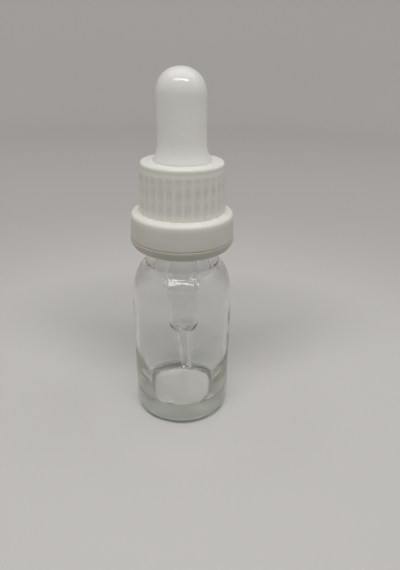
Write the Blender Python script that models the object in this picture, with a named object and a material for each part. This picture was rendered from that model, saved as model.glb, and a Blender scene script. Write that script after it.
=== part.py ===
"""Glass dropper bottle: a moulded bottle, a fluted screw cap with its tear-off ring, a squeeze bulb
and a glass pipette with a bent tip.

Lengths are in metres. +Z is up, the bottle stands on Z = 0 and every piece is turned about the Z axis.
"""
import math

import bmesh
import bpy
from mathutils import Matrix, Vector

MM = 0.001

# Clearances
SEAT_GAP = 0.3 * MM          # between pieces that rest on each other
RUNNING_GAP = 0.35 * MM      # between pieces that turn or slide past each other
SEAM_GAP = 0.3 * MM          # tear line between the cap's collar and the tamper ring
FLANGE_PLAY = 0.55 * MM      # round the bulb's flange, inside the cap
THREAD_ROOM = 1.05 * MM      # space between neck and cap that the thread fills
BEAD_PLAY = 0.72 * MM        # round the neck's bead, inside the collar
TIP_CLEARANCE = 4.7 * MM     # under the pipette's tip, above the bottle's floor

# Pipette: its tube is the size that everything round it follows
TUBE_RADIUS = 3.55 * MM
TUBE_WALL = 0.75 * MM
TUBE_SWELL = 0.3 * MM        # the tube widens by this much down to its shoulder
TUBE_SWELL_LENGTH = 18.0 * MM
TUBE_TOP_PROUD = 0.6 * MM    # tube above the rubber socket
PIPETTE_BEAD = 0.75 * MM     # half-round bead that the rubber grips
PIPETTE_BEAD_RISE = 3.2 * MM  # centre of the bead above the flange's underside
ROUND_SHOULDER = 1.0 * MM    # height of the round shoulder under the wide tube
STEM_RADIUS = 2.2 * MM
STEM_WALL = 1.1 * MM
STEM_LENGTH = 12.9 * MM
TIP_RADIUS = 1.1 * MM
TIP_WALL = 0.65 * MM
TIP_FILLET = 0.45 * MM
BEND_DROP = 0.4 * MM         # from the top of the stem down to its bend
BEND_LENGTH = 2.4 * MM
BEND_ANGLE = math.radians(4.0)

# Squeeze bulb
BULB_AIR = 0.8 * MM          # round the tube's end, inside the bulb
BULB_WALL = 1.2 * MM
BULB_HEIGHT = 19.45 * MM      # above the cap's top
DOME_HEIGHT = 5.7 * MM
DOME_POWER_SHARE = 2.15
FLARE_OVERHANG = 1.3 * MM
FLARE_HEIGHT = 4.5 * MM
FLARE_POWER_SHARE = 2.2
BULB_FOOT_PROUD = 0.25 * MM   # height of the foot's edge above the cap's top
FLANGE_LEDGE = 1.55 * MM
FLANGE_THICKNESS = 2.0 * MM
FLANGE_FILLET = 0.4 * MM
SOCKET_HEIGHT = 5.4 * MM     # rubber that grips the pipette, up from the flange's underside
SOCKET_BLEND = 0.8 * MM

# Screw cap
CAP_HEIGHT = 17.6 * MM
CAP_ROOF = 1.7 * MM
CAP_EDGE_FILLET = 0.5 * MM
BAND_HEIGHT = 1.25 * MM      # smooth band above the flutes
BAND_WALL = 0.65 * MM
RIB_STEP = 0.3 * MM          # the ribs stand out from the band by this much
BARREL_WALL = 0.9 * MM      # under a flute, at the foot of the barrel
FLUTE_COUNT = 30
FLUTE_DEPTH = 0.4 * MM
RIB_WIDTH = 0.4 * MM
COLLAR_WALL = 1.46 * MM
COLLAR_TAPER = 0.32 * MM
COLLAR_HEIGHT = 5.84 * MM
COLLAR_FILLET = 0.8 * MM
COLLAR_RISE = 0.3 * MM       # the collar's top climbs to the ribs by this much
COLLAR_ROOF = 1.3 * MM
MOUTH_CHAMFER = 0.3 * MM

# Tamper ring
RING_HEIGHT = 2.3 * MM
RING_WALL = 1.45 * MM
RING_FOOT = 1.85 * MM        # its lower edge stands out from the neck by this much
RING_POWER_SHARE = 2.0
RING_RIM = 0.6 * MM          # left of the ring's foot outside the slots between the pawls
PAWL_HEIGHT = 0.85 * MM
PAWL_COUNT = 8
PAWL_SLOT = 1.2 * MM

# Bottle
BODY_OVERHANG = 0.22 * MM    # the body stands out from the cap's collar by this much
BODY_WALL = 1.3 * MM
FOOT_WALL = 1.9 * MM         # the wall thickens towards the base
FOOT_WALL_HEIGHT = 19.0 * MM
BASE_THICKNESS = 5.2 * MM
FLOOR_FILLET = 2.5 * MM
HEEL_FILLET = 2.2 * MM
STANDING_RING = 1.3 * MM     # width of the flat ring that the bottle stands on
PUSH_UP_DEPTH = 0.8 * MM     # hollow under the base, inside that ring
WALL_HEIGHT = 32.3 * MM
SHOULDER_HEIGHT = 8.6 * MM
SHOULDER_POWER_SHARE = 1.95  # power of the shoulder's rounded curve, 2 is an ellipse
NECK_HEIGHT = 21.0 * MM      # from the top of the shoulder to the lip
NECK_STEP = 0.95 * MM        # the neck under the bead stands out from the finish
NECK_WALL = 1.9 * MM
NECK_BLEND = 0.7 * MM
BEAD_OVERHANG = 1.25 * MM    # the bead that holds the tamper ring down
BEAD_HEIGHT = 1.3 * MM
BEAD_FILLET = 0.45 * MM
FINISH_WALL = 2.3 * MM
THROAT_LENGTH = 9.0 * MM     # straight bore down from the lip
THROAT_BLEND = 2.0 * MM
LIP_FILLET = 0.5 * MM

# Facets
BOTTLE_STEPS = 48
CAP_STEPS = 60
BULB_STEPS = 40
TUBE_STEPS = 24
FLUTE_STEPS = 14
BEAD_STEPS = 4
CURVE_STEPS = 6
FILLET_FACET = 0.8 * MM      # longest chord along a fillet
STRAIGHT_ANGLE = math.radians(5)
SHARP_ANGLE = math.radians(32)
MERGE_DISTANCE = 0.001 * MM
CUT_OVERRUN = 1.0 * MM

# Radii that follow each other outwards from the pipette's tube
BULB_RADIUS = TUBE_RADIUS + BULB_AIR + BULB_WALL
BULB_FOOT_RADIUS = BULB_RADIUS + FLARE_OVERHANG
FLANGE_RADIUS = BULB_FOOT_RADIUS + FLANGE_LEDGE
CAP_BORE = FLANGE_RADIUS + FLANGE_PLAY
BAND_RADIUS = CAP_BORE + BAND_WALL
BARREL_RADIUS = CAP_BORE + BARREL_WALL + FLUTE_DEPTH
FINISH_RADIUS = CAP_BORE - THREAD_ROOM
NECK_RADIUS = FINISH_RADIUS + NECK_STEP
BEAD_RADIUS = NECK_RADIUS + BEAD_OVERHANG
COLLAR_RADIUS = BEAD_RADIUS + BEAD_PLAY + COLLAR_WALL
BODY_RADIUS = COLLAR_RADIUS + BODY_OVERHANG
PAWL_RADIUS = NECK_RADIUS + RUNNING_GAP
RING_FOOT_RADIUS = NECK_RADIUS + RING_FOOT

# Heights that several pieces share
SHOULDER_TOP = WALL_HEIGHT + SHOULDER_HEIGHT
BOTTLE_HEIGHT = SHOULDER_TOP + NECK_HEIGHT
FLANGE_BOTTOM = BOTTLE_HEIGHT + SEAT_GAP
FLANGE_TOP = FLANGE_BOTTOM + FLANGE_THICKNESS
ROOF_BOTTOM = FLANGE_TOP + SEAT_GAP
CAP_TOP = ROOF_BOTTOM + CAP_ROOF
CAP_BOTTOM = CAP_TOP - CAP_HEIGHT
RING_TOP = CAP_BOTTOM - SEAM_GAP
RING_BOTTOM = RING_TOP - RING_HEIGHT
PAWL_TOP = RING_BOTTOM + PAWL_HEIGHT
BEAD_BOTTOM = PAWL_TOP + SEAT_GAP
PIPETTE_BEAD_HEIGHT = FLANGE_BOTTOM + PIPETTE_BEAD_RISE
SOCKET_TOP = FLANGE_BOTTOM + SOCKET_HEIGHT
TIP_HEIGHT = BASE_THICKNESS + TIP_CLEARANCE
STEM_TOP = TIP_HEIGHT + STEM_LENGTH
BEND_TOP = STEM_TOP - BEND_DROP


def clear_scene():
    for thing in list(bpy.data.objects):
        bpy.data.objects.remove(thing, do_unlink=True)


def make_material(name, colour, roughness, transmission=0.0):
    finish = bpy.data.materials.new(name)
    finish.use_nodes = True
    shader = finish.node_tree.nodes["Principled BSDF"]
    shader.inputs["Base Color"].default_value = (*colour, 1.0)
    shader.inputs["Roughness"].default_value = roughness
    shader.inputs["Metallic"].default_value = 0.0
    shader.inputs["Transmission Weight"].default_value = transmission
    finish.diffuse_color = (*colour, 1.0)
    return finish


def filleted(corners):
    """Outline through (radius, height, fillet) corners, each corner rounded by its fillet's arc."""
    places = [Vector(corner[:2]) for corner in corners]
    outline = [places[0]]
    for before, here, after, corner in zip(places, places[1:], places[2:], corners[1:]):
        back = (before - here).normalized()
        ahead = (after - here).normalized()
        turn = math.pi - back.angle(ahead)
        fillet = corner[2]
        if fillet == 0 or turn < STRAIGHT_ANGLE:
            outline.append(here)
            continue
        reach = fillet * math.tan(turn / 2)
        centre = here + (back + ahead).normalized() * math.hypot(fillet, reach)
        first = here + back * reach - centre
        last = here + ahead * reach - centre
        side = math.copysign(1.0, first.x * last.y - first.y * last.x)
        steps = max(2, math.ceil(turn * fillet / FILLET_FACET))
        for step in range(steps + 1):
            angle = side * turn * step / steps
            outline.append(centre + Matrix.Rotation(angle, 2) @ first)
    outline.append(places[-1])
    return [(place.x, place.y) for place in outline]


def power_curve(outer, inner, low, high, power):
    """Rounded shoulder from the outer radius at the first height to the inner radius at the other."""
    points = []
    for step in range(CURVE_STEPS + 1):
        angle = math.pi / 2 * step / CURVE_STEPS
        across = math.cos(angle) ** (2 / power)
        rise = math.sin(angle) ** (2 / power)
        points.append((inner + (outer - inner) * across, low + (high - low) * rise))
    return points


def finish_mesh(name, shape, finish):
    bmesh.ops.remove_doubles(shape, verts=shape.verts, dist=MERGE_DISTANCE)
    bmesh.ops.recalc_face_normals(shape, faces=shape.faces)
    mesh = bpy.data.meshes.new(name)
    shape.to_mesh(mesh)
    shape.free()
    mesh.shade_smooth()
    mesh.set_sharp_from_angle(angle=SHARP_ANGLE)
    mesh.materials.append(finish)
    thing = bpy.data.objects.new(name, mesh)
    bpy.context.collection.objects.link(thing)
    return thing


def turned_shape(outline, steps, closed):
    """Spin a (radius, height) outline round the Z axis."""
    shape = bmesh.new()
    points = [shape.verts.new((radius, 0, height)) for radius, height in outline]
    pairs = list(zip(points, points[1:]))
    if closed:
        pairs.append((points[-1], points[0]))
    edges = [shape.edges.new(pair) for pair in pairs]
    bmesh.ops.spin(shape, geom=points + edges, cent=(0, 0, 0), axis=(0, 0, 1), dvec=(0, 0, 0),
                   angle=math.tau, steps=steps, use_merge=True)
    bmesh.ops.remove_doubles(shape, verts=shape.verts, dist=MERGE_DISTANCE)
    return shape


def repeat_round(shape, count):
    """Copy a shape's faces evenly round the Z axis."""
    first = shape.verts[:] + shape.edges[:] + shape.faces[:]
    for index in range(1, count):
        copies = bmesh.ops.duplicate(shape, geom=first)["geom"]
        places = [piece for piece in copies if isinstance(piece, bmesh.types.BMVert)]
        turn = Matrix.Rotation(math.tau * index / count, 3, "Z")
        bmesh.ops.rotate(shape, verts=places, cent=(0, 0, 0), matrix=turn)


def cut_away(target, cutter):
    cutter.hide_render = True
    cutter.display_type = "WIRE"
    cut = target.modifiers.new(cutter.name, "BOOLEAN")
    cut.operation = "DIFFERENCE"
    cut.solver = "EXACT"
    cut.object = cutter


def glass_bottle(finish):
    """Round moulded bottle: thick base, soft shoulder, retaining bead and plain neck finish."""
    inner_radius = BODY_RADIUS - BODY_WALL
    bore = FINISH_RADIUS - FINISH_WALL
    hollow_radius = BODY_RADIUS - HEEL_FILLET - STANDING_RING
    neck_bore = NECK_RADIUS - NECK_WALL
    throat_bottom = BOTTLE_HEIGHT - THROAT_LENGTH
    bead_top = BEAD_BOTTOM + BEAD_HEIGHT
    inside_shoulder = power_curve(inner_radius, neck_bore, WALL_HEIGHT, SHOULDER_TOP - BODY_WALL,
                                  SHOULDER_POWER_SHARE)
    outside_shoulder = power_curve(BODY_RADIUS, NECK_RADIUS, WALL_HEIGHT, SHOULDER_TOP,
                                   SHOULDER_POWER_SHARE)
    floor = filleted([
        (0, BASE_THICKNESS, 0),
        (BODY_RADIUS - FOOT_WALL, BASE_THICKNESS, FLOOR_FILLET),
        (inner_radius, FOOT_WALL_HEIGHT, 0),
    ])
    neck = filleted([
        (*inside_shoulder[-2], 0),
        (neck_bore, SHOULDER_TOP - BODY_WALL, NECK_BLEND),
        (neck_bore, throat_bottom - THROAT_BLEND, 0),
        (bore, throat_bottom, 0),
        (bore, BOTTLE_HEIGHT, LIP_FILLET),
        (FINISH_RADIUS, BOTTLE_HEIGHT, LIP_FILLET),
        (FINISH_RADIUS, bead_top, BEAD_FILLET),
        (BEAD_RADIUS, bead_top, BEAD_FILLET),
        (BEAD_RADIUS, BEAD_BOTTOM, BEAD_FILLET),
        (NECK_RADIUS, BEAD_BOTTOM, 0),
        (NECK_RADIUS, SHOULDER_TOP, NECK_BLEND),
        (*outside_shoulder[-2], 0),
    ])
    heel = filleted([
        (*outside_shoulder[0], 0),
        (BODY_RADIUS, 0, HEEL_FILLET),
        (hollow_radius, 0, 0),
    ])
    push_up = power_curve(hollow_radius, 0, 0, PUSH_UP_DEPTH, 2)
    outline = floor + inside_shoulder[:-2] + neck + outside_shoulder[-3:0:-1] + heel + push_up[1:]
    return finish_mesh("glass_bottle", turned_shape(outline, BOTTLE_STEPS, closed=False), finish)


def flute_cutters(finish):
    """Ball-ended rods, one for each flute, leaning with the barrel's taper."""
    barrel_bottom = CAP_BOTTOM + COLLAR_HEIGHT + COLLAR_RISE
    barrel_top = CAP_TOP - BAND_HEIGHT
    half_width = math.pi * BARREL_RADIUS / FLUTE_COUNT - RIB_WIDTH / 2
    rod_radius = (half_width ** 2 + FLUTE_DEPTH ** 2) / (2 * FLUTE_DEPTH)
    rod_length = barrel_top - barrel_bottom
    rod = filleted([
        (0, rod_length, 0),
        (rod_radius, rod_length, rod_radius),
        (rod_radius, 0, 0),
        (0, 0, 0),
    ])
    shape = turned_shape(rod, FLUTE_STEPS, closed=False)
    lean = math.atan2(BARREL_RADIUS - BAND_RADIUS - RIB_STEP, rod_length)
    place = BARREL_RADIUS - FLUTE_DEPTH + rod_radius
    bmesh.ops.transform(shape, verts=shape.verts, matrix=Matrix.Rotation(-lean, 4, "Y"))
    bmesh.ops.translate(shape, verts=shape.verts, vec=(place, 0, barrel_bottom))
    repeat_round(shape, FLUTE_COUNT)
    return finish_mesh("flute_cutters", shape, finish)


def screw_cap(finish):
    """Fluted barrel over a wide smooth collar, with a hole in its roof for the bulb's foot."""
    collar_top = CAP_BOTTOM + COLLAR_HEIGHT
    barrel_bottom = collar_top + COLLAR_RISE
    barrel_top = CAP_TOP - BAND_HEIGHT
    hole = BULB_FOOT_RADIUS + SEAT_GAP
    collar_bore = COLLAR_RADIUS - COLLAR_WALL
    collar_ceiling = collar_top - COLLAR_ROOF
    outline = filleted([
        (CAP_BORE, ROOF_BOTTOM, 0),
        (hole, ROOF_BOTTOM, 0),
        (hole, CAP_TOP, 0),
        (BAND_RADIUS, CAP_TOP, CAP_EDGE_FILLET),
        (BAND_RADIUS, barrel_top, 0),
        (BAND_RADIUS + RIB_STEP, barrel_top - RIB_STEP, 0),
        (BARREL_RADIUS, barrel_bottom, 0),
        (COLLAR_RADIUS - COLLAR_TAPER, collar_top, COLLAR_FILLET),
        (COLLAR_RADIUS, CAP_BOTTOM + COLLAR_HEIGHT / 3, 0),
        (COLLAR_RADIUS, CAP_BOTTOM, 0),
        (collar_bore + MOUTH_CHAMFER, CAP_BOTTOM, 0),
        (collar_bore, CAP_BOTTOM + MOUTH_CHAMFER, 0),
        (collar_bore, collar_ceiling, COLLAR_FILLET),
        (CAP_BORE, collar_ceiling + COLLAR_RISE, 0),
        (CAP_BORE, ROOF_BOTTOM, 0),
    ])
    cap = finish_mesh("screw_cap", turned_shape(outline[:-1], CAP_STEPS, closed=True), finish)
    cut_away(cap, flute_cutters(finish))
    return cap


def pawl_slots(finish):
    """Short blocks that part the ring's inner lip into pawls."""
    depth = RING_FOOT_RADIUS - RING_RIM - PAWL_RADIUS
    height = PAWL_HEIGHT + 2 * CUT_OVERRUN
    shape = bmesh.new()
    bmesh.ops.create_cube(shape, size=1)
    bmesh.ops.scale(shape, verts=shape.verts, vec=(2 * depth, PAWL_SLOT, height))
    bmesh.ops.translate(shape, verts=shape.verts, vec=(PAWL_RADIUS, 0, PAWL_TOP - height / 2))
    repeat_round(shape, PAWL_COUNT)
    return finish_mesh("pawl_slots", shape, finish)


def tamper_ring(finish):
    """Tear-off ring under the collar, rounded in below, with pawls that catch under the neck's bead."""
    bore = COLLAR_RADIUS - RING_WALL
    outside = power_curve(COLLAR_RADIUS, RING_FOOT_RADIUS, RING_TOP, RING_BOTTOM, RING_POWER_SHARE)
    inside = [
        (PAWL_RADIUS, RING_BOTTOM),
        (PAWL_RADIUS, PAWL_TOP),
        (bore, PAWL_TOP),
        (bore, RING_TOP),
    ]
    ring = finish_mesh("tamper_ring", turned_shape(outside + inside, CAP_STEPS, closed=True), finish)
    cut_away(ring, pawl_slots(finish))
    return ring


def rubber_bulb(finish):
    """Squeeze bulb: dome, straight wall, flared foot through the cap's roof, and a sealing flange."""
    foot_top = CAP_TOP + BULB_FOOT_PROUD
    flare_top = foot_top + FLARE_HEIGHT
    dome_bottom = CAP_TOP + BULB_HEIGHT - DOME_HEIGHT
    bore = TUBE_RADIUS + BULB_AIR
    socket = TUBE_RADIUS + SEAT_GAP
    groove = TUBE_RADIUS + PIPETTE_BEAD + SEAT_GAP
    groove_half = PIPETTE_BEAD + SEAT_GAP
    outer_dome = power_curve(BULB_RADIUS, 0, dome_bottom, CAP_TOP + BULB_HEIGHT, DOME_POWER_SHARE)
    inner_dome = power_curve(bore, 0, dome_bottom, CAP_TOP + BULB_HEIGHT - BULB_WALL, DOME_POWER_SHARE)
    flare = []
    for step in range(CURVE_STEPS + 1):
        share = step / CURVE_STEPS
        radius = BULB_RADIUS + (BULB_FOOT_RADIUS - BULB_RADIUS) * share ** FLARE_POWER_SHARE
        flare.append((radius, flare_top - FLARE_HEIGHT * share))
    flange = filleted([
        (BULB_FOOT_RADIUS, FLANGE_TOP, 0),
        (FLANGE_RADIUS, FLANGE_TOP, FLANGE_FILLET),
        (FLANGE_RADIUS, FLANGE_BOTTOM, FLANGE_FILLET),
        (socket, FLANGE_BOTTOM, 0),
    ])
    inside = [
        (socket, PIPETTE_BEAD_HEIGHT - groove_half - SOCKET_BLEND),
        (groove, PIPETTE_BEAD_HEIGHT - groove_half),
        (groove, PIPETTE_BEAD_HEIGHT + groove_half),
        (socket, PIPETTE_BEAD_HEIGHT + groove_half),
        (socket, SOCKET_TOP),
        (bore, SOCKET_TOP + SOCKET_BLEND),
    ]
    outline = outer_dome[::-1] + flare + flange + inside + inner_dome
    return finish_mesh("rubber_bulb", turned_shape(outline, BULB_STEPS, closed=False), finish)


def bend_stem(shape):
    """Turn the stem below the bend towards +X, along an arc and then straight."""
    radius = BEND_LENGTH / BEND_ANGLE
    for vert in shape.verts:
        below = BEND_TOP - vert.co.z
        if below <= 0:
            continue
        angle = BEND_ANGLE * min(below / BEND_LENGTH, 1)
        straight = max(below - BEND_LENGTH, 0)
        drop = radius * math.sin(angle) + straight * math.cos(angle)
        aside = radius * (1 - math.cos(angle)) + straight * math.sin(angle)
        across = vert.co.x
        vert.co.x = aside + across * math.cos(angle)
        vert.co.z = BEND_TOP - drop + across * math.sin(angle)


def stem_row(height, top_radius, tip_radius):
    """Corner on the stem's straight taper, from the round shoulder down to the tip."""
    share = (STEM_TOP - height) / (STEM_TOP - TIP_HEIGHT)
    return (top_radius + (tip_radius - top_radius) * share, height, 0)


def glass_pipette(finish):
    """Drawn glass tube: open end and bead at the top, widening to a blunt shoulder, then a tapered, bent stem."""
    top = SOCKET_TOP + TUBE_TOP_PROUD
    bore = TUBE_RADIUS - TUBE_WALL
    bead = []
    for step in range(BEAD_STEPS + 1):
        angle = math.pi / 2 - math.pi * step / BEAD_STEPS
        bead.append((TUBE_RADIUS + PIPETTE_BEAD * math.cos(angle),
                     PIPETTE_BEAD_HEIGHT + PIPETTE_BEAD * math.sin(angle)))
    stem_bore = STEM_RADIUS - STEM_WALL
    tip_bore = TIP_RADIUS - TIP_WALL
    swell_bottom = STEM_TOP + ROUND_SHOULDER + TUBE_WALL / 2
    swell_top = swell_bottom + TUBE_SWELL_LENGTH
    outer_shoulder = power_curve(TUBE_RADIUS + TUBE_SWELL, STEM_RADIUS, swell_bottom, STEM_TOP, 2)
    inner_shoulder = power_curve(bore + TUBE_SWELL, stem_bore, swell_bottom, STEM_TOP + TUBE_WALL, 2)
    bend_rows = [BEND_TOP, BEND_TOP - BEND_LENGTH / 2, BEND_TOP - BEND_LENGTH]
    tip = filleted([stem_row(height, STEM_RADIUS, TIP_RADIUS) for height in bend_rows] + [
        (TIP_RADIUS, TIP_HEIGHT, TIP_FILLET),
        (tip_bore, TIP_HEIGHT, 0),
    ] + [stem_row(height, stem_bore, tip_bore) for height in bend_rows[::-1]])
    tube = [(bore, top), (TUBE_RADIUS, top)] + bead + [(TUBE_RADIUS, swell_top)]
    outline = tube + outer_shoulder + tip + inner_shoulder[::-1] + [(bore, swell_top)]
    shape = turned_shape(outline, TUBE_STEPS, closed=True)
    bend_stem(shape)
    return finish_mesh("glass_pipette", shape, finish)


def build():
    clear_scene()
    glass_bottle(make_material("bottle_glass", (0.86, 0.9, 0.87), 0.03, transmission=1.0))
    tamper_ring(make_material("ring_plastic", (0.72, 0.72, 0.66), 0.42))
    screw_cap(make_material("cap_plastic", (0.78, 0.78, 0.74), 0.42))
    rubber_bulb(make_material("bulb_rubber", (0.84, 0.84, 0.82), 0.5))
    glass_pipette(make_material("pipette_glass", (0.9, 0.92, 0.9), 0.03, transmission=1.0))


build()
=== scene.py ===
# Looks of the glass dropper bottle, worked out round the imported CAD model.
# Sizes in the dictionaries are millimetres of that model, and mm turns them into metres.
# The lights alone are given in metres.
import math

import bpy
import numpy as np
from mathutils import Matrix, Vector


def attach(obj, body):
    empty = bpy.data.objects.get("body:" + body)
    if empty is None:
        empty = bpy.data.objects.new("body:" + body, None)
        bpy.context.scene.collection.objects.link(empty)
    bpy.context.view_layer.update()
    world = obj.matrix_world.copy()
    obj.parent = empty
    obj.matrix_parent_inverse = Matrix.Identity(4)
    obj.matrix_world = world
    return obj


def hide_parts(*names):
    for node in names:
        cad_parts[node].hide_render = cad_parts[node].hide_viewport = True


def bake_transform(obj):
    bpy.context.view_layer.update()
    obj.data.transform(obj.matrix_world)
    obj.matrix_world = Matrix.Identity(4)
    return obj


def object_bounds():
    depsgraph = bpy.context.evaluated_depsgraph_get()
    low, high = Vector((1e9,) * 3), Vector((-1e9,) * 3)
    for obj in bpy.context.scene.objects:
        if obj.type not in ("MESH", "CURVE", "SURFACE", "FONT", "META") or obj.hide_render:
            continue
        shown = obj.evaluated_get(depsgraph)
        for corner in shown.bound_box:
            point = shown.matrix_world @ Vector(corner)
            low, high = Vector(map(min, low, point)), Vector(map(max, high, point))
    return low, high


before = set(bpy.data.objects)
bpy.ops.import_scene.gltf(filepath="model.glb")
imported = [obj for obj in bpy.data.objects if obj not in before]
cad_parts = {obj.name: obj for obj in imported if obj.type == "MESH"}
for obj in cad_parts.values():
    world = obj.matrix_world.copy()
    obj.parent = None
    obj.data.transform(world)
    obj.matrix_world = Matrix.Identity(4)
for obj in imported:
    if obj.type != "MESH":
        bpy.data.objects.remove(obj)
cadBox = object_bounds()
modelHeight = 85.65
mm = (cadBox[1].z - cadBox[0].z) / modelHeight


# Shader wires

class Wire:
    # One output of a shader node. Arithmetic on it adds Math nodes.
    def __init__(self, tree, socket=None):
        self.tree, self.socket = tree, socket

    def node(self, kind, settings=None, sockets=None, output=0):
        # the settings come first, and then each socket gets its value or its link
        made = self.tree.nodes.new(kind)
        for name, value in (settings or {}).items():
            setattr(made, name, value)
        for name, value in (sockets or {}).items():
            if isinstance(value, Wire):
                self.tree.links.new(value.socket, made.inputs[name])
            else:
                made.inputs[name].default_value = value
        return Wire(self.tree, made.outputs[output])

    def maths(self, operation, *values):
        return self.node("ShaderNodeMath", {"operation": operation}, dict(enumerate(values)))

    def __add__(self, other):
        return self.maths("ADD", self, other)

    def __sub__(self, other):
        return self.maths("SUBTRACT", self, other)

    def __rsub__(self, other):
        return self.maths("SUBTRACT", other, self)

    def __mul__(self, other):
        return self.maths("MULTIPLY", self, other)

    def __truediv__(self, other):
        return self.maths("DIVIDE", self, other)

    def __pow__(self, other):
        return self.maths("POWER", self, other)

    __radd__ = __add__
    __rmul__ = __mul__

    def cosine(self):
        return self.maths("COSINE", self)

    def axes(self):
        # x, y and z of a place, in millimetres
        parts = self.node("ShaderNodeSeparateXYZ", sockets={0: self}).socket.node.outputs
        return [Wire(self.tree, part) / mm for part in parts]

    def between(self, low, high):
        # 0 below low, 1 above high, with soft ends
        return self.node("ShaderNodeMapRange", {"interpolation_type": "SMOOTHSTEP"},
                         {"Value": self, "From Min": low, "From Max": high})

    def noise(self, size, detail):
        # noise over this place, with grains of about that size in millimetres
        return self.node("ShaderNodeTexNoise", sockets={
            "Vector": self, "Scale": 1 / (size * mm), "Detail": detail})

    def bump(self, distance):
        # the normal of a skin that rises by this wire times the distance
        return self.node("ShaderNodeBump", sockets={"Height": self, "Distance": distance * mm, "Strength": 1.0})

    def blendColours(self, first, second):
        # first where this wire is 0, second where it is 1; sockets 6 and 7 are the node's colours
        colours = {place: colour if isinstance(colour, Wire) else (*colour, 1.0)
                   for place, colour in ((6, first), (7, second))}
        return self.node("ShaderNodeMix", {"data_type": "RGBA"}, {0: self, **colours}, output=2)


def newMaterial(name, constants):
    # a material with those constants, the place on the piece as a wire, and its shader
    material = bpy.data.materials.new(name)
    material.use_nodes = True
    shader = material.node_tree.nodes["Principled BSDF"]
    for socket, value in constants.items():
        shader.inputs[socket].default_value = value
    return material, Wire(material.node_tree).node("ShaderNodeTexCoord", output="Object"), shader


def drive(shader, **wires):
    # baseColor=wire joins that wire to the socket named Base Color
    names = {"baseColor": "Base Color", "roughness": "Roughness", "normal": "Normal"}
    for name, wire in wires.items():
        wire.tree.links.new(wire.socket, shader.inputs[names[name]])


# Outlines and surfaces: an outline is an array of radius and height
meshLook = {"facet": 0.12, "fewestFacets": 4, "leastTurn": 0.02, "evenStep": 0.1, "sharpAngle": 38,
            "samePlace": 1e-6}


def rounded(corners, facet=meshLook["facet"]):
    # (radius, height, fillet) corners: each corner is replaced by the arc that touches both its sides
    places = np.array([corner[:2] for corner in corners], float)
    outline = [places[:1]]
    for before, here, after, corner in zip(places, places[1:], places[2:], corners[1:]):
        back = (before - here) / np.linalg.norm(before - here)
        ahead = (after - here) / np.linalg.norm(after - here)
        turn = math.pi - math.acos(np.clip(back @ ahead, -1, 1))
        fillet = corner[2] if len(corner) > 2 else 0
        if fillet == 0 or turn < meshLook["leastTurn"]:
            outline.append(here[None])
            continue
        reach = fillet * math.tan(turn / 2)
        middle = (back + ahead) / np.linalg.norm(back + ahead)
        centre = here + middle * math.hypot(fillet, reach)
        first, last = here + back * reach - centre, here + ahead * reach - centre
        side = np.sign(first[0] * last[1] - first[1] * last[0])
        facets = max(meshLook["fewestFacets"], math.ceil(turn * fillet / facet))
        share = np.linspace(0, 1, facets + 1) * side * turn
        outline.append(centre + np.outer(np.cos(share), first)
                       + np.outer(np.sin(share), [-first[1], first[0]]))
    return np.concatenate(outline + [places[-1:]])


def powerRun(low, high, power, count, start=0.0, end=90.0):
    # superellipse from the wide low end to the narrow high end: across and up both go by a power of cos and sin,
    # and a power of 2 gives a plain quarter of an ellipse
    angle = np.radians(np.linspace(start, end, count))
    across = np.abs(np.cos(angle)) ** (2 / power)
    rise = np.abs(np.sin(angle)) ** (2 / power)
    return np.stack([high[0] + (low[0] - high[0]) * across, low[1] + (high[1] - low[1]) * rise], axis=1)


def spread(outline, step):
    # puts even points on every straight stretch, none longer than the step
    parts = []
    for here, there in zip(outline, outline[1:]):
        count = max(1, math.ceil(np.linalg.norm(there - here) / step))
        parts.append(here + (there - here) * np.linspace(0, 1, count, endpoint=False)[:, None])
    return np.concatenate(parts + [outline[-1:]])


def softened(outline, reach, step=meshLook["evenStep"]):
    # even points, each replaced by the mean of its neighbours with a bell curve of that reach; the ends stay
    along = np.concatenate([[0], np.cumsum(np.linalg.norm(np.diff(outline, axis=0), axis=1))])
    even = np.linspace(0, along[-1], max(2, round(along[-1] / step)) + 1)
    points = np.stack([np.interp(even, along, outline[:, axis]) for axis in range(2)], axis=1)
    count = math.ceil(3 * reach / step)
    bell = np.exp(-0.5 * (np.arange(-count, count + 1) * step / reach) ** 2)
    before = 2 * points[0] - points[count:0:-1]
    after = 2 * points[-1] - points[-2:-count - 2:-1]
    padded = np.concatenate([before, points, after])
    return np.stack([np.convolve(padded[:, axis], bell / bell.sum(), "valid") for axis in range(2)], axis=1)


def joined(*parts):
    # outlines end to end, without the points that repeat
    whole = np.concatenate(parts)
    apart = np.linalg.norm(np.diff(whole, axis=0), axis=1) > meshLook["samePlace"]
    return whole[np.concatenate([[True], apart])]


def outlineNormals(outline):
    # the open outline's tangent turned by a quarter, for moving rows in and out
    along = np.concatenate([outline[1:], outline[-1:]]) - np.concatenate([outline[:1], outline[:-1]])
    along /= np.linalg.norm(along, axis=1)[:, None]
    return np.stack([along[:, 1], -along[:, 0]], axis=1)


def around(count):
    # even angles round the axis, as one row
    return np.linspace(0, math.tau, count, endpoint=False)[None, :]


def turned(radius, height, angle):
    # rows of radius and height carried round the axis: x = r cos, y = r sin
    radius, height, angle = np.broadcast_arrays(radius, height, angle)
    return np.stack([radius * np.cos(angle), radius * np.sin(angle), height], axis=-1)


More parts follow.
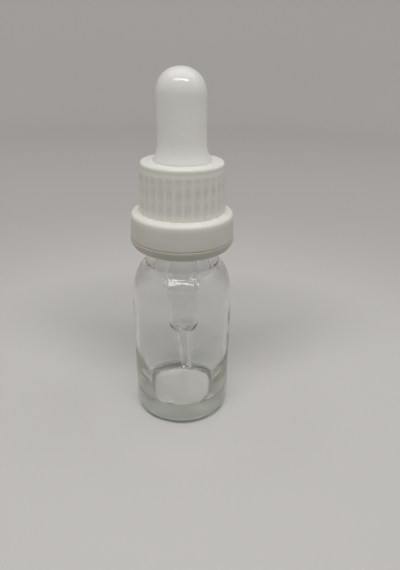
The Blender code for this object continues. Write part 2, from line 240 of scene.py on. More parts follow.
def surfacePiece(name, points, closed, sharpAngle=meshLook["sharpAngle"]):
    # a grid of points, rows along the outline and columns round the axis, joined by four-sided faces;
    # a row on the axis is one point, where the faces have three sides
    rows, columns = points.shape[:2]
    index = np.arange(rows * columns).reshape(rows, columns)
    onAxis = np.hypot(points[..., 0], points[..., 1]).max(axis=1) < meshLook["samePlace"]
    index[onAxis] = index[onAxis][:, :1]
    low = index if closed else index[:-1]
    high = np.roll(index, -1, axis=0) if closed else index[1:]
    faces = np.stack([low, np.roll(low, -1, axis=1), np.roll(high, -1, axis=1), high], axis=-1).reshape(-1, 4)

    # the faces point outwards when the volume that they enclose is above zero
    places = points.reshape(-1, 3)
    a, b, c, d = (places[faces[:, corner]] for corner in range(4))
    volume = np.einsum("ij,ij->", a, np.cross(b, c)) + np.einsum("ij,ij->", a, np.cross(c, d))
    if volume < 0:
        faces = faces[:, ::-1]
    atTip = (faces == np.roll(faces, -1, axis=1)).any(axis=1)
    quads, tips = faces[~atTip], faces[atTip]
    triangles = tips[tips != np.roll(tips, -1, axis=1)].reshape(-1, 3)
    used, corners = np.unique(np.concatenate([quads.ravel(), triangles.ravel()]), return_inverse=True)
    quads, triangles = corners[:quads.size].reshape(-1, 4), corners[quads.size:].reshape(-1, 3)

    mesh = bpy.data.meshes.new(name)
    mesh.from_pydata((places[used] * mm).tolist(), [], quads.tolist() + triangles.tolist())
    mesh.shade_smooth()
    mesh.set_sharp_from_angle(angle=math.radians(sharpAngle))
    mesh.update()
    piece = bpy.data.objects.new(name, mesh)
    bpy.context.scene.collection.objects.link(piece)
    print(name, len(mesh.vertices), "points")
    return piece


def softStep(value, low, high):
    # 0 below low, 1 above high, and between them 3 times the share squared less 2 times its cube
    share = np.clip((value - low) / (high - low), 0, 1)
    return share * share * (3 - 2 * share)


def waves(points, lengths, count, seed):
    # sum of cosines that run in random directions, so that it has no seam; about -1 to 1
    chance = np.random.default_rng(seed)
    directions = chance.normal(size=(count, 3))
    directions /= np.linalg.norm(directions, axis=1)[:, None]
    numbers = math.tau / chance.uniform(*lengths, size=count)
    phases = chance.uniform(0, math.tau, size=count)
    return np.cos(points @ (directions * numbers[:, None]).T + phases).sum(axis=-1) / math.sqrt(count)


def threadRidge(angle, height, thread):
    # a ridge whose middle climbs by one pitch a turn: 1 on its flat crest, 0 away from it, with flanks between,
    # and it sinks away along its run-out at both ends
    turns = (height - thread["start"]) / thread["pitch"] - (angle / math.tau) % 1.0
    off = (turns - np.round(turns)) * thread["pitch"]
    along = np.round(turns) + (angle / math.tau) % 1.0
    crest = 1 - softStep(np.abs(off), thread["crest"] / 2, thread["crest"] / 2 + thread["flank"])
    ends = softStep(along, 0, thread["runOut"]) * (1 - softStep(along, thread["turns"] - thread["runOut"],
                                                                thread["turns"]))
    return crest * ends


# Heights that pieces share
level = {
    "wallTop": 32.3, "shoulderTop": 41.6, "ringBottom": 46.0, "pawlTop": 46.85, "beadBottom": 47.15,
    "ringTop": 48.3, "beadTop": 48.45, "capBottom": 48.6, "collarTop": 54.44, "barrelBottom": 54.74,
    "lip": 61.9, "flangeBottom": 62.2, "flangeTop": 64.2, "roofBottom": 64.5, "bandBottom": 64.95,
    "capTop": 66.2, "bulbTop": modelHeight,
}


# Bottle
bottleLook = {
    # body, the ring that it stands on, the hollow inside that, and the wall, which grows thicker to its foot
    "bodyRadius": 12.5, "heel": 2.2, "standingRing": 1.3, "pushUp": 0.8, "wall": 1.1,
    "footWall": 2.6, "footWallTop": 16.0, "footFillet": 30.0, "base": 4.8, "floorFillet": 0.8,
    # shoulder and neck
    "shoulderPower": 1.95, "neckRadius": 8.85, "neckBore": 6.8, "neckBlend": 0.7, "innerTop": 40.85,
    "neckRise": 4.0, "neckSoftness": 1.5,
    # bead and finish
    "neckFillet": 0.2, "beadRadius": 10.1, "beadFillet": 0.45, "finishRadius": 7.9, "lipFillet": 0.5,
    "bore": 5.6, "throatBottom": 52.9, "throatBlend": 2.0, "throatFillet": 2.0,
    "threadClear": 0.3, "throatClear": 1.0,
    # how fine the mesh is
    "columns": 240, "step": 0.7, "neckStep": 0.3, "finishStep": 0.28, "facet": 0.2, "floorFacet": 0.4,
    "hollowRows": 22, "shoulderRows": 40, "blendRows": 9,
    # short bars under the bottle: how many, how deep, up to which height and how far from the ring's middle
    "knurls": 48, "knurlDepth": 0.05, "knurlTop": 0.05, "knurlEdge": (0.3, 0.62),
    # uneven glass: its height and its waves inside, on the floor and outside, and where these begin
    "wallWave": 0.04, "wallWaves": {"lengths": (7.0, 15.0), "count": 14, "seed": 3},
    "floorWave": 0.07, "floorWaves": {"lengths": (3.0, 6.5), "count": 20, "seed": 8},
    "outerWave": 0.010, "outerWaves": {"lengths": (5.0, 11.0), "count": 14, "seed": 5},
    "floorWaveTop": (0.4, 2.5), "outerWaveFoot": (3.0, 8.0),
}
bottleThread = {"start": 55.6, "pitch": 3.175, "turns": 1.7, "runOut": 0.3, "crest": 0.35, "flank": 0.55,
                "height": 0.72}


def bottleOutline(look):
    # from the middle of the hollow base outwards, up the outside, over the lip and down to the middle of the
    # floor: the hollow is a quarter of an ellipse, the shoulder a superellipse, and the rest straight with fillets
    body, neck, bore = look["bodyRadius"], look["neckRadius"], look["neckBore"]
    innerWall, neckTop = body - look["wall"], level["shoulderTop"] + look["neckRise"]
    blend, power = look["neckBlend"], look["shoulderPower"]
    ringInner = body - look["heel"] - look["standingRing"]
    hollow = powerRun((ringInner, 0), (0, look["pushUp"]), 2, look["hollowRows"])[::-1]
    heel = rounded([(ringInner, 0), (body, 0, look["heel"]), (body, level["wallTop"])], look["facet"])

    def shoulder(wide, narrow, top):
        # the shoulder's curve as far as the blend, then the blend's quarter turn into the neck
        share = (blend / (wide - narrow)) ** (power / 2)
        curve = powerRun((wide, level["wallTop"]), (narrow, top), power, look["shoulderRows"],
                         end=math.degrees(math.acos(share)))
        turn = np.radians(np.linspace(270, 180, look["blendRows"]))
        centre = (narrow + blend, curve[-1, 1] + blend)
        arc = np.stack([centre[0] + blend * np.cos(turn), centre[1] + blend * np.sin(turn)], axis=1)
        return joined(curve, arc)

    outer = shoulder(body, neck, level["shoulderTop"])
    finish = spread(rounded([
        tuple(outer[-1]), (neck, level["beadBottom"], look["neckFillet"]),
        (look["beadRadius"], level["beadBottom"], look["beadFillet"]),
        (look["beadRadius"], level["beadTop"], look["beadFillet"]),
        (look["finishRadius"], level["beadTop"], look["beadFillet"]),
        (look["finishRadius"], level["lip"], look["lipFillet"]), (look["bore"], level["lip"], look["lipFillet"]),
        (look["bore"], look["throatBottom"], look["throatFillet"]),
        (bore, look["throatBottom"] - look["throatBlend"], look["throatFillet"]), (bore, neckTop),
    ], look["facet"]), look["finishStep"])
    inner = joined(shoulder(innerWall, bore, look["innerTop"]), [(bore, neckTop)])
    inner = softened(inner, look["neckSoftness"], look["neckStep"])[::-1]
    floor = rounded([
        (innerWall, level["wallTop"]), (innerWall, look["footWallTop"], look["footFillet"]),
        (body - look["footWall"], look["base"], look["floorFillet"]), (0, look["base"]),
    ], look["floorFacet"])
    outside = joined(hollow, spread(heel, look["step"]), outer, finish[:-1])
    return outside, joined(inner, spread(floor, look["step"]))


def glassBottle(look, thread):
    # the turned outline, whose rows move along their own normals by a sum of waves; the outside only sinks
    outside, inside = bottleOutline(look)
    outline = joined(outside, inside)
    isInside = (np.arange(len(outline)) >= len(outside))[:, None]
    radius, height = outline[:, :1], outline[:, 1:]
    normal = outlineNormals(outline)
    angle = around(look["columns"])
    flat = turned(radius, height, angle)
    wall = waves(flat, **look["wallWaves"]) * look["wallWave"]
    pool = waves(flat, **look["floorWaves"]) * look["floorWave"]
    dips = np.clip(waves(flat, **look["outerWaves"]) / 3 - 1, -2, 0) * look["outerWave"]
    onFloor = 1 - softStep(height - look["base"], *look["floorWaveTop"])
    belowNeck = 1 - softStep(height, level["shoulderTop"], level["shoulderTop"] + look["neckRise"])
    move = belowNeck * np.where(isInside, wall * (1 - onFloor) + pool * onFloor,
                                softStep(height, *look["outerWaveFoot"]) * dips)

    # thread on the finish, and the short bars pressed into the ring that the bottle stands on
    onFinish = (~isInside & (height > level["beadTop"] + look["threadClear"])
                & (radius > look["bore"] + look["throatClear"]))
    ridge = onFinish * threadRidge(angle, height, thread) * thread["height"]
    onRing = ~isInside & (height < look["knurlTop"])
    ringMiddle = look["bodyRadius"] - look["heel"] - look["standingRing"] / 2
    fade = 1 - softStep(np.abs(radius - ringMiddle), *look["knurlEdge"])
    bars = onRing * fade * (1 - np.cos(angle * look["knurls"])) / 2 * look["knurlDepth"]

    offAxis = radius > meshLook["samePlace"]
    points = turned(radius + normal[:, :1] * move * offAxis + ridge, height + normal[:, 1:] * move + bars, angle)
    return surfacePiece("bottle", points, closed=False)


glassLook = {
    "tint": (0.955, 0.955, 0.955, 1.0), "ior": 1.51, "absorb": (0.78, 0.82, 0.72, 1.0), "density": 35.0,
    # ripple of the shoulder's front: its grain, its height there and elsewhere, and where it fades by height,
    # by radius plus height, towards the back and to the sides
    "rippleSize": 1.05, "rippleDetail": 0.3, "ripple": 0.22, "calmRipple": 0.0008,
    "rippleFoot": (38.6, 39.6), "rippleTop": (41.6, 42.6), "rippleSkin": (49.2, 49.6),
    "rippleBack": (-3.0, 0.0), "rippleSides": (3.4, 4.6),
    # stipple of the underside: its roughness, and where it fades by height and by radius
    "stipple": 0.35, "stippleTop": (0.8, 1.0), "stippleEdge": (10.2, 10.5),
}


def squares(edges):
    return [edge ** 2 for edge in edges]


def glassMaterial(name, look):
    # clear glass: colour comes from its thickness. A ripple on the shoulder breaks up the lamp's reflection,
    # and the ring that the bottle stands on, with the hollow inside it, is stippled
    material, where, shader = newMaterial(name, {
        "Base Color": look["tint"], "IOR": look["ior"], "Transmission Weight": 1.0})
    x, y, z = where.axes()
    radiusSquared = x * x + y * y
    onShoulder = (z.between(*look["rippleFoot"]) * (1 - z.between(*look["rippleTop"]))
                  * (radiusSquared ** 0.5 + z).between(*look["rippleSkin"])
                  * (1 - y.between(*look["rippleBack"])) * (1 - (x * x).between(*squares(look["rippleSides"]))))
    ripple = (where.noise(look["rippleSize"], look["rippleDetail"])
              * (onShoulder * (look["ripple"] - look["calmRipple"]) + look["calmRipple"]))
    under = ((1 - z.between(*look["stippleTop"]))
             * (1 - radiusSquared.between(*squares(look["stippleEdge"]))))
    drive(shader, roughness=under * look["stipple"], normal=ripple.bump(1.0))
    depth = where.node("ShaderNodeVolumeAbsorption", sockets={
        "Color": look["absorb"], "Density": look["density"]})
    tree = material.node_tree
    tree.links.new(depth.socket, tree.nodes["Material Output"].inputs["Volume"])
    return material


bottle = glassBottle(bottleLook, bottleThread)
bottle.data.materials.append(glassMaterial("bottleGlass", glassLook))
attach(bottle, "bottle")
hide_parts("glass_bottle")
print("bottle made")


# Pipette
pipetteLook = {
    # tube, with the bead that the rubber grips, and the swelling down to its round shoulder
    "tube": 3.55, "wall": 0.75, "top": 68.2, "rimFillet": 0.25, "rimDepth": 1.0, "bead": 0.75, "beadHeight": 65.4,
    "swell": 0.3, "swellTop": 42.2, "swellBottom": 24.6, "innerSwell": 0.15, "innerRise": 0.6,
    # stem and tip
    "stem": 2.4, "stemWall": 1.2, "stemTop": 22.2, "taper": 0.9, "tip": 1.25, "tipWall": 0.65,
    "tipHeight": 9.9, "tipLength": 1.3, "tipFillet": 0.45, "tipBoreFillet": 0.15,
    # the stem's bend in degrees, and how far the whole hangs aside for each millimetre below the rubber
    "bendTop": 22.4, "bendLength": 2.4, "bendAngle": 3.2, "lean": 0.009,
    # how fine the mesh is
    "columns": 96, "step": 0.5, "softness": 0.22, "beadRows": 13, "curveRows": 20, "tipFacet": 0.08,
}
pipetteGlass = {**glassLook, "rippleSize": 3.0, "ripple": 0.0015}


def bent(points, look):
    # below the bend's top the stem follows an arc towards +X, and then its straight tangent
    turn = math.radians(look["bendAngle"])
    arcRadius = look["bendLength"] / turn
    below = np.maximum(look["bendTop"] - points[..., 2], 0)
    angle = turn * np.minimum(below / look["bendLength"], 1)
    straight = np.maximum(below - look["bendLength"], 0)
    aside = arcRadius * (1 - np.cos(angle)) + straight * np.sin(angle)
    drop = arcRadius * np.sin(angle) + straight * np.cos(angle)
    x, y, z = np.moveaxis(points, -1, 0)
    moved = np.stack([aside + x * np.cos(angle), y, look["bendTop"] - drop + x * np.sin(angle)], axis=-1)
    return np.where((below > 0)[..., None], moved, points)


def glassPipette(look):
    # down the outside from the top rim, round the tip and back up the bore: the bead is half a circle, the
    # shoulder a quarter of an ellipse. Below the rubber the pipette hangs a little aside
    tube, stem, tip, foot = look["tube"], look["stem"], look["tip"], look["tipHeight"]
    bore, stemBore, tipBore = tube - look["wall"], stem - look["stemWall"], tip - look["tipWall"]
    swing = np.radians(np.linspace(90, -90, look["beadRows"]))
    bead = np.stack([tube + look["bead"] * np.cos(swing), look["beadHeight"] + look["bead"] * np.sin(swing)], axis=1)
    rim = rounded([(bore, look["top"] - look["rimDepth"]), (bore, look["top"], look["rimFillet"]),
                   (tube, look["top"], look["rimFillet"]), (tube, look["beadHeight"] + look["bead"])])
    shoulder = powerRun((tube + look["swell"], look["swellBottom"]), (stem, look["stemTop"]), 2, look["curveRows"])
    innerShoulder = powerRun((bore + look["swell"] + look["innerSwell"], look["swellBottom"]),
                             (stemBore, look["stemTop"] + look["innerRise"]), 2, look["curveRows"])[::-1]
    outside = joined([(tube, look["swellTop"])], shoulder,
                     [(stem + (tip - stem) * look["taper"], foot + look["tipLength"])])
    inside = joined([(tipBore, foot + look["tipLength"])], innerShoulder, [(bore, look["swellTop"])])
    end = rounded([tuple(outside[-1]), (tip, foot, look["tipFillet"]), (tipBore, foot, look["tipBoreFillet"]),
                   (tipBore, foot + look["tipLength"])], look["tipFacet"])
    outside, inside = softened(outside, look["softness"]), softened(inside, look["softness"])
    outline = spread(joined(rim, bead, outside, end, inside, rim[:1]), look["step"])[:-1]
    points = bent(turned(outline[:, :1], outline[:, 1:], around(look["columns"])), look)
    points[..., 0] += np.maximum(level["flangeBottom"] - points[..., 2], 0) * look["lean"]
    return surfacePiece("pipette", points, closed=True)


pipette = glassPipette(pipetteLook)
pipette.data.materials.append(glassMaterial("pipetteGlass", pipetteGlass))
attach(pipette, "dropper")
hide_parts("glass_pipette")
print("pipette made")


# Plastic and rubber finishes
plasticLook = {"specular": 0.5, "subsurface": 0.6, "scatter": 1.0, "scatterColour": (1.0, 0.97, 0.92),
               "cloudDetail": 3.0, "cloudEdges": (0.3, 0.7), "grainDetail": 2.0, "grainEdges": (0.25, 0.75)}


def plasticMaterial(name, look, shade=None):
    # moulded plastic: cloudy tone, uneven gloss and a fine skin; shade adds the piece's painted shade
    material, where, shader = newMaterial(name, {
        "Specular IOR Level": look["specular"], "Subsurface Weight": look["subsurface"],
        "Subsurface Radius": look["scatterColour"], "Subsurface Scale": look["scatter"] * mm})
    cloud = where.noise(look["cloudSize"], look["cloudDetail"])
    grain = where.noise(look["grainSize"], look["grainDetail"])
    colour = cloud.between(*look["cloudEdges"]).blendColours(look["colour"], look["otherColour"])
    if shade:
        colour = shade(where, colour)
    drive(shader, baseColor=colour, normal=grain.bump(look["grainHeight"]),
          roughness=grain.between(*look["grainEdges"]) * look["roughnessRange"] + look["roughness"])
    return material


# Screw cap
capLook = {
    # roof, with the hole for the bulb, and the smooth band
    "hole": 6.68, "holeFoot": 0.1, "holeEdge": 0.05, "roofLap": 1.0, "bandRadius": 9.6, "bandStep": 0.9,
    "edgeFillet": 0.6, "bandFillet": 1.5,
    # barrel with its flutes; the lead and the hair part the stretches of the outline
    "ribTop": 9.8, "ribFoot": 10.25, "lead": 0.25, "hair": 0.01, "flutes": 30, "fluteDepth": 0.30, "fluteEnd": 4.0,
    "ribWidth": 0.4, "ribAngle": 3.7, "cornerSoftness": 0.06, "cornerLift": 2.5, "bore": 8.95, "boreFillet": 0.25,
    # collar
    "collarFoot": (0.02, 0.003), "collarTopRadius": 11.96, "collarRadius": 12.28, "collarFillet": 0.8,
    "collarStraightTop": 50.55, "collarBulge": 3.0, "mouthFillet": 0.12, "mouthChamfer": 0.3,
    "collarBore": 10.82, "collarCeiling": 53.14, "ceilingRise": 0.3, "ceilingFillet": 0.15,
    # how fine the mesh is, and a flute's columns as shares of its half width and degrees beyond its edge
    "step": 0.3, "collarStep": 0.45, "columnShares": (0.0, 0.19, 0.37, 0.54, 0.7, 0.84, 0.94, 1.0),
    "columnBeyond": 0.25, "sharpAngle": 50,
}
capThread = {"start": 54.1, "pitch": 3.175, "turns": 3.2, "runOut": 0.3, "crest": 0.45, "flank": 0.5,
             "height": 0.62}
capPlastic = {**plasticLook, "colour": (0.83, 0.82, 0.76), "otherColour": (0.85, 0.84, 0.78),
              "cloudSize": 5.0, "grainSize": 0.35, "grainHeight": 0.004, "roughness": 0.38, "roughnessRange": 0.12}
capShadow = {
    # painted shadow of the thread inside, in the flutes: its height, its depth, its share low down and its colour
    "start": 53.55, "strength": 0.36, "lowShare": 0.75, "colour": (0.60, 0.585, 0.575),
    "turnEdge": 0.9, "fluteEdge": 0.85, "barrelFoot": (55.2, 56.6), "fluteTop": (63.9, 64.7), "upper": (60.5, 63.0),
    # painted shade, warmer and darker, on collar and barrel, and the heights where they end
    "paintedShadeColour": (0.10, 0.08, 0.02), "collarShade": 0.26, "collarTop": (52.6, 54.4),
    "barrelShade": 0.12, "bandTop": (65.2, 65.9),
}


def fluteColumns(look):
    # angles of one flute's columns, close together at its two edges, repeated round the barrel
    pitch = 360 / look["flutes"]
    edge = math.degrees((math.pi * look["ribFoot"] / look["flutes"] - look["ribWidth"] / 2) / look["ribFoot"])
    half = np.append(np.array(look["columnShares"]) * edge, edge + look["columnBeyond"])
    one = np.concatenate([-half[:0:-1], half, [pitch / 2]])
    middles = (np.arange(look["flutes"]) + 0.5) * pitch + look["ribAngle"] - 90
    return np.radians((middles[:, None] + one).ravel())[None, :], np.tile(one, look["flutes"])[None, :]


def fluted(radius, height, offset, look):
    # a flute is the wall of a rod with a long rounded end: its circle's radius follows from the flute's width and
    # depth, and the wall is the softened lesser of barrel and rod, lifted back by what softening takes off the ribs
    barrel = np.interp(height, [level["barrelBottom"], level["bandBottom"] - look["bandStep"]],
                       [look["ribFoot"], look["ribTop"]])
    halfWidth = math.pi * look["ribFoot"] / look["flutes"] - look["ribWidth"] / 2
    rod = (halfWidth ** 2 + look["fluteDepth"] ** 2) / (2 * look["fluteDepth"])
    across = np.radians(offset) * look["ribFoot"]
    above = np.maximum(height - (level["bandBottom"] - rod * look["fluteEnd"]), 0) / look["fluteEnd"]
    inside = np.maximum(rod ** 2 - across ** 2 - above ** 2, 0)
    cut = barrel - look["fluteDepth"] + rod - np.sqrt(inside)
    soft = look["cornerSoftness"]
    lift = soft * math.log(1 + math.exp(-look["cornerLift"]))
    return lift - soft * np.logaddexp(-radius / soft, -cut / soft)


def screwCap(look, thread):
    # round the wall: up the hole, over the roof, down band, barrel and collar, in at the mouth and up the bore
    barrelTop, foot, bore = level["bandBottom"] - look["bandStep"], level["barrelBottom"], look["bore"]
    barrelStart = (look["ribTop"] + look["hair"], barrelTop - look["lead"])
    footStep, footDrop = look["collarFoot"]
    roof = rounded([
        (bore - look["roofLap"], level["roofBottom"]), (look["hole"], level["roofBottom"], look["holeFoot"]),
        (look["hole"], level["capTop"], look["holeEdge"]), (look["bandRadius"], level["capTop"], look["edgeFillet"]),
        (look["bandRadius"], level["bandBottom"], look["bandFillet"]),
        (look["ribTop"], barrelTop, look["bandFillet"]), barrelStart])
    barrel = np.array([barrelStart, (look["ribFoot"], foot + footStep)])
    collar = rounded([
        (look["ribFoot"] + footStep, foot - footDrop),
        (look["collarTopRadius"], level["collarTop"], look["collarFillet"]),
        (look["collarRadius"], look["collarStraightTop"], look["collarBulge"]),
        (look["collarRadius"], level["capBottom"], look["mouthFillet"]),
        (look["collarBore"] + look["mouthChamfer"], level["capBottom"]),
        (look["collarBore"], level["capBottom"] + look["mouthChamfer"]),
        (look["collarBore"], look["collarCeiling"], look["collarFillet"]),
        (bore, look["collarCeiling"] + look["ceilingRise"], look["ceilingFillet"]), (bore, foot)])
    boreWall = rounded([(bore, foot), (bore, level["roofBottom"], look["boreFillet"]),
                        (bore - look["roofLap"], level["roofBottom"])])
    parts = [spread(roof, look["step"]), spread(barrel, look["step"]), spread(collar, look["collarStep"]),
             spread(boreWall, look["step"])[:-1]]
    outline = np.concatenate(parts)
    part = np.repeat(np.arange(len(parts)), [len(piece) for piece in parts])[:, None]
    onRoof, onBarrel, onBore = part == 0, part == 1, part == 3
    angle, offset = fluteColumns(look)
    radius, height = outline[:, :1], outline[:, 1:]
    belowBand = onRoof & (height < level["bandBottom"]) & (radius > look["bandRadius"] - look["hair"])
    radius = np.where(onBarrel | belowBand, np.minimum(radius, fluted(radius, height, offset, look)), radius)
    radius = radius - onBore * threadRidge(angle, height, thread) * thread["height"]
    return surfacePiece("cap", turned(radius, height, angle), closed=True, sharpAngle=look["sharpAngle"])


def threadShadow(where, colour):
    # painted shade: in the flutes the wall is thin, and it is painted darker between the turns of the thread inside,
    # which climb to the right; collar and barrel are painted slightly warmer and darker than the band
    x, y, z = where.axes()
    angle = where.maths("ARCTAN2", y, x)
    perPitch = math.tau / capThread["pitch"]
    climb = (z * perPitch - angle - capShadow["start"] * perPitch).cosine()
    flute = (angle * capLook["flutes"] - math.radians(capLook["ribAngle"] - 90) * capLook["flutes"]).cosine()
    inFlute = 1 - flute.between(0.0, capShadow["fluteEdge"])
    aboveFoot = z.between(*capShadow["barrelFoot"])
    # painted shade in the flutes, between the turns of the thread
    dark = (1 - climb.between(-capShadow["turnEdge"], capShadow["turnEdge"])) * inFlute
    dark = dark * aboveFoot * (1 - z.between(*capShadow["fluteTop"]))
    upper = z.between(*capShadow["upper"]) * (1 - capShadow["lowShare"]) + capShadow["lowShare"]
    onCollar = 1 - z.between(*capShadow["collarTop"])
    onBarrel = aboveFoot * (1 - z.between(*capShadow["bandTop"]))
    # painted shade: collar and barrel slightly warmer and darker than the band
    colour = (onCollar * capShadow["collarShade"]).blendColours(colour, capShadow["paintedShadeColour"])
    colour = (onBarrel * capShadow["barrelShade"]).blendColours(colour, capShadow["paintedShadeColour"])
    return (dark * upper * capShadow["strength"]).blendColours(colour, capShadow["colour"])


cap = screwCap(capLook, capThread)
cap.data.materials.append(plasticMaterial("capPlastic", capPlastic, threadShadow))
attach(cap, "cap")
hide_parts("screw_cap")
print("cap made")


# Tamper ring
ringLook = {
    # outside: a power curve from the seam to the foot, which starts at that many degrees
    "topRadius": 12.28, "footRadius": 10.7, "power": 2.0, "curveStart": 8.0, "seam": 0.08, "edgeFillet": 0.14,
    # inside: bore, foot and pawls with the slots between them
    "bore": 10.83, "ledge": 0.3, "footEdge": 0.12, "rim": 0.6, "pawlRadius": 9.2, "pawls": 8, "slot": 1.2,
    "fillet": 0.2, "hair": 0.01,
    # how far the outside stands proud of the collar, from where, and how far it sits off centre towards an angle
    "proud": 0.15, "proudIn": (0.2, 0.3), "proudDown": (1.4, 0.3), "offCentre": 0.06, "offAngle": 215,
    "columns": 288, "curveRows": 26, "step": 0.3, "edgeFacet": 0.03, "sharpAngle": 45,
}
# the cap's plastic painted darker and more olive: painted shade for the ring, which faces down under the collar
shadedRingPlastic = {**capPlastic, "colour": (0.50, 0.48, 0.415), "otherColour": (0.52, 0.50, 0.435)}


def tamperRing(look):
    # outside falls from the top edge to the foot by a power of the depth; inside it steps out over the pawls
    foot, bore, fillet = look["footRadius"], look["bore"], look["fillet"]
    top, bottom, pawlTop = level["capBottom"] - look["seam"], level["ringBottom"], level["pawlTop"]
    curve = powerRun((look["topRadius"], level["ringTop"]), (foot, bottom), look["power"],
                     look["curveRows"], look["curveStart"])
    edge = rounded([(bore + look["ledge"], top), (look["topRadius"], top, look["edgeFillet"]), tuple(curve[0])],
                   look["edgeFacet"])
    inside = rounded([tuple(curve[-1]), (foot - look["footEdge"], bottom),
                      (look["pawlRadius"], bottom, fillet), (look["pawlRadius"], pawlTop, fillet),
                      (bore, pawlTop), (bore, top, fillet), (bore + look["ledge"], top)])
    outline = spread(joined(edge, curve, inside), look["step"])[:-1]
    angle = around(look["columns"])
    radius, height = outline[:, :1], outline[:, 1:]
    wide = math.pi / look["pawls"]
    fromSlot = np.abs((angle + wide) % (2 * wide) - wide) * look["pawlRadius"]
    slotRadius = foot - look["rim"]
    onPawl = (radius < slotRadius) & (height < pawlTop + look["hair"])
    radius = np.where(onPawl & (fromSlot < look["slot"] / 2), slotRadius, radius)
    outer = (softStep(radius, bore + look["proudIn"][0], look["topRadius"] - look["proudIn"][1])
             * softStep(height, top - look["proudDown"][0], top - look["proudDown"][1]))
    radius = radius + outer * (look["proud"] + look["offCentre"] * np.cos(angle - math.radians(look["offAngle"])))
    return surfacePiece("tamperRing", turned(radius, height, angle), closed=True, sharpAngle=look["sharpAngle"])


ring = tamperRing(ringLook)
# the ring's material is the cap's plastic with painted shade
ring.data.materials.append(plasticMaterial("shadedRingPlastic", shadedRingPlastic))
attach(ring, "ring")
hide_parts("tamper_ring")
print("ring made")


# Squeeze bulb
bulbLook = {
    "radius": 5.55, "domeBottom": 79.95, "domePower": 2.15, "wall": 1.1, "bore": 4.35, "boreBottom": 68.4,
    "foot": 6.65, "footProud": 0.25, "flareHeight": 4.5, "flarePower": 2.2, "footFillet": 0.1,
    "flange": 8.4, "flangeFillet": 0.4,
    # socket for the pipette, with the groove that takes its bead
    "socket": 3.85, "socketTop": 67.6, "socketFillet": 0.15, "groove": 4.6, "grooveLead": 0.8,
    "grooveBottom": 64.35, "grooveTop": 66.45,
    "lean": -0.0175,  # how far the bulb leans aside for each millimetre above the cap
    "columns": 160, "step": 0.4, "domeRows": 48, "flareRows": 24, "innerRows": 36,
}
bulbRubber = {**plasticLook, "colour": (0.86, 0.85, 0.815), "otherColour": (0.88, 0.87, 0.835),
              "cloudSize": 6.0, "grainSize": 0.5, "grainHeight": 0.002, "roughness": 0.04, "roughnessRange": 0.03}


def squeezeBulb(look):
    # from the dome's top down the outside, round the flange, up through socket and groove to the inner dome:
    # the domes are superellipses, and the flare widens by a power of its depth
    radius, foot, socket, groove = look["radius"], look["foot"], look["socket"], look["groove"]
    footTop = level["capTop"] + look["footProud"]
    dome = powerRun((radius, look["domeBottom"]), (0, level["bulbTop"]), look["domePower"], look["domeRows"])[::-1]
    share = np.linspace(0, 1, look["flareRows"])
    flare = np.stack([radius + (foot - radius) * share ** look["flarePower"],
                      footTop + look["flareHeight"] * (1 - share)], axis=1)
    flange = rounded([tuple(flare[-1]), (foot, level["flangeTop"], look["footFillet"]),
                      (look["flange"], level["flangeTop"], look["flangeFillet"]),
                      (look["flange"], level["flangeBottom"], look["flangeFillet"]),
                      (socket, level["flangeBottom"], look["socketFillet"]),
                      (socket, look["grooveBottom"] - look["grooveLead"]), (groove, look["grooveBottom"]),
                      (groove, look["grooveTop"]), (socket, look["grooveTop"]), (socket, look["socketTop"]),
                      (look["bore"], look["boreBottom"])])
    innerDome = powerRun((look["bore"], look["domeBottom"]), (0, level["bulbTop"] - look["wall"]),
                         look["domePower"], look["innerRows"])
    outline = spread(joined(dome, flare, flange, innerDome), look["step"])
    points = turned(outline[:, :1], outline[:, 1:], around(look["columns"]))
    points[..., 0] += np.maximum(points[..., 2] - footTop, 0) * look["lean"]
    return surfacePiece("bulb", points, closed=False)


bulb = squeezeBulb(bulbLook)
bulb.data.materials.append(plasticMaterial("bulbRubber", bulbRubber))
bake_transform(bulb)
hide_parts("rubber_bulb")
print("bulb made")


# Floor and backdrop, one bowl that is open at the top
stageLook = {
    "floorRadius": 500.0, "sweep": 160.0, "wallTop": 550.0, "drop": 0.03,
    "columns": 96, "facet": 10.0, "step": 50.0,
    "roughness": 0.9, "specular": 0.2, "fibreSize": 111.1, "fibreDetail": 2.0, "fibreReach": 30.0,
    # painted light and shade on the paper: its colour near the bottle, and farther off at the back: low, higher up,
    # high and deep, and in front
    "nearColour": (0.625, 0.61, 0.59), "nearEdge": (40.0, 190.0),
    "farColour": (0.51, 0.493, 0.477), "topColour": (0.66, 0.64, 0.62), "topRise": (30.0, 250.0),
    "highColour": (0.18, 0.175, 0.17), "highRise": (300.0, 380.0), "highBack": (100.0, 400.0),
    "frontColour": (0.38, 0.37, 0.36), "frontBack": (-300.0, 50.0),
    # painted light and shade: mottled and paler under the bottle's floor, for the light that the thick base gathers,
    # and painted shade, darker, under its heel
    "causticColours": ((0.72, 0.705, 0.69), (0.97, 0.95, 0.93)), "mottleSize": 2.2, "mottleDetail": 2.0,
    "mottleEdges": (0.3, 0.7), "underEdge": (8.4, 9.6), "heelShadeColour": (0.465, 0.45, 0.435), "heelEdge": (12.0, 12.3),
    # painted shadow: soft dark ovals behind the bottle, added to its cast shadow; strength, middle and half sizes of
    # each oval
    "shades": ((0.15, 47.0, 78.0, 42.0), (0.12, 15.0, 15.0, 12.0)), "shadeColour": (0.0, 0.0, 0.0),
}


def studioBowl(look):
    # flat floor, quarter turn, upright wall, all carried round the axis, with the faces turned inwards
    wall = look["floorRadius"] + look["sweep"]
    run = spread(rounded([(0, 0), (wall, 0, look["sweep"]), (wall, look["wallTop"])], look["facet"]), look["step"])
    points = turned(run[:, :1], run[:, 1:] - look["drop"], around(look["columns"]))
    stage = surfacePiece("studioBowl", points, closed=False)
    stage.data.flip_normals()
    return stage


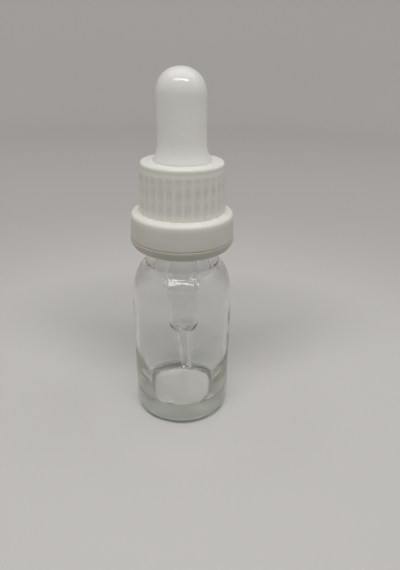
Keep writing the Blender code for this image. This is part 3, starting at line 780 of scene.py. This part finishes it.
def stageMaterial(look):
    # paper with painted light and shade: its colour goes by the place on it, by height, by depth and by the distance
    # from the bottle
    material, where, shader = newMaterial("studioPaper", {
        "Roughness": look["roughness"], "Specular IOR Level": look["specular"]})
    x, y, z = where.axes()
    distance = where.node("ShaderNodeVectorMath", {"operation": "LENGTH"}, {0: where}, output=1) / mm
    fibre = (where.noise(look["fibreSize"], look["fibreDetail"]) - 0.5) * look["fibreReach"]
    mottle = where.noise(look["mottleSize"], look["mottleDetail"]).between(*look["mottleEdges"])
    # painted light and shade on the backdrop: lighter near the bottle and higher up, darker high and deep and in
    # front
    farColour = z.between(*look["topRise"]).blendColours(look["farColour"], look["topColour"])
    farColour = y.between(*look["frontBack"]).blendColours(look["frontColour"], farColour)
    high = z.between(*look["highRise"]) * y.between(*look["highBack"])
    farColour = high.blendColours(farColour, look["highColour"])
    # painted light under the bottle's floor, mottled and paler, and painted shade under its heel
    under = distance.between(*look["underEdge"])
    heel = distance.between(*look["heelEdge"])
    near = under.blendColours(mottle.blendColours(*look["causticColours"]), look["heelShadeColour"])
    near = heel.blendColours(near, look["nearColour"])
    # painted shadow: soft dark ovals on the floor beside and behind the bottle
    for strength, middle, reachAside, reachBack in look["shades"]:
        aside, back = x / reachAside, (y - middle) / reachBack
        oval = (1 - (aside * aside + back * back).between(0.0, 1.0)) * heel
        near = (oval * strength).blendColours(near, look["shadeColour"])
    far = (distance + fibre).between(*look["nearEdge"])
    drive(shader, baseColor=far.blendColours(near, farColour))
    return material


stage = studioBowl(stageLook)
stage.data.materials.append(stageMaterial(stageLook))
print("stage made")


# Light: grey surroundings, a wide soft box overhead, the long lamp that shows in the gloss and a dim card at the
# right. Sizes and places are in metres, and each lamp looks at a point on the bottle's axis, aimHeight up it
lightLook = {
    "surroundings": 0.21, "aimHeight": 50.0, "bounces": 24,
    "lamps": {"softBox": {"size": (1.4, 0.7), "place": (0.0, 0.15, 1.0), "radiance": 0.88},
              "longLamp": {"size": (1.15, 0.14), "place": (0.0, -0.46, 1.0), "radiance": 11.4},
              "sideCard": {"size": (0.5, 0.5), "place": (0.72, 0.06, 0.68), "radiance": 0.7}},
}


def areaLight(name, size, place, radiance):
    # a lamp of that radiance gives pi times area times radiance in watts
    light = bpy.data.lights.new(name, "AREA")
    light.shape, light.size, light.size_y = "RECTANGLE", *size
    light.energy = math.pi * size[0] * size[1] * radiance
    lamp = bpy.data.objects.new(name, light)
    lamp.location = place
    aim = Vector((0, 0, lightLook["aimHeight"] * mm)) - Vector(place)
    lamp.rotation_euler = aim.to_track_quat("-Z", "Y").to_euler()
    bpy.context.scene.collection.objects.link(lamp)


for lampName, lampLook in lightLook["lamps"].items():
    areaLight(lampName, **lampLook)
world = bpy.data.worlds.new("surroundings")
world.use_nodes = True
background = world.node_tree.nodes["Background"].inputs
background["Color"].default_value = (1.0, 1.0, 1.0, 1.0)
background["Strength"].default_value = lightLook["surroundings"]
bpy.context.scene.world = world
bpy.context.scene.view_settings.view_transform = "Standard"
# light goes through many walls of clear glass before it gets out again
paths = bpy.context.scene.cycles
paths.blur_glossy = 0.0
paths.max_bounces = paths.transmission_bounces = paths.glossy_bounces = lightLook["bounces"]
print("light made")


# Camera, as fitted to the bottle's outline in the photograph; the angles are degrees
cameraLook = {"place": (4.51, -110.06, 89.21), "pitch": 26.27, "roll": 1.083, "lens": 30.49, "sensor": 36.0,
              "nearest": 1.0}


def photoCamera(look):
    # looks along +Y and down by the pitch, then rolls about its own line of sight
    pitch, roll = math.radians(look["pitch"]), math.radians(look["roll"])
    right, up = Vector((1, 0, 0)), Vector((0, math.sin(pitch), math.cos(pitch)))
    ahead = Vector((0, math.cos(pitch), -math.sin(pitch)))
    across = right * math.cos(roll) + up * math.sin(roll)
    above = up * math.cos(roll) - right * math.sin(roll)
    data = bpy.data.cameras.new("photoCamera")
    data.lens, data.sensor_width, data.clip_start = look["lens"], look["sensor"], look["nearest"] * mm
    camera = bpy.data.objects.new("photoCamera", data)
    camera.matrix_world = Matrix.Translation(Vector(look["place"]) * mm) @ Matrix(
        (across, above, -ahead)).transposed().to_4x4()
    bpy.context.scene.collection.objects.link(camera)
    bpy.context.scene.camera = camera


photoCamera(cameraLook)
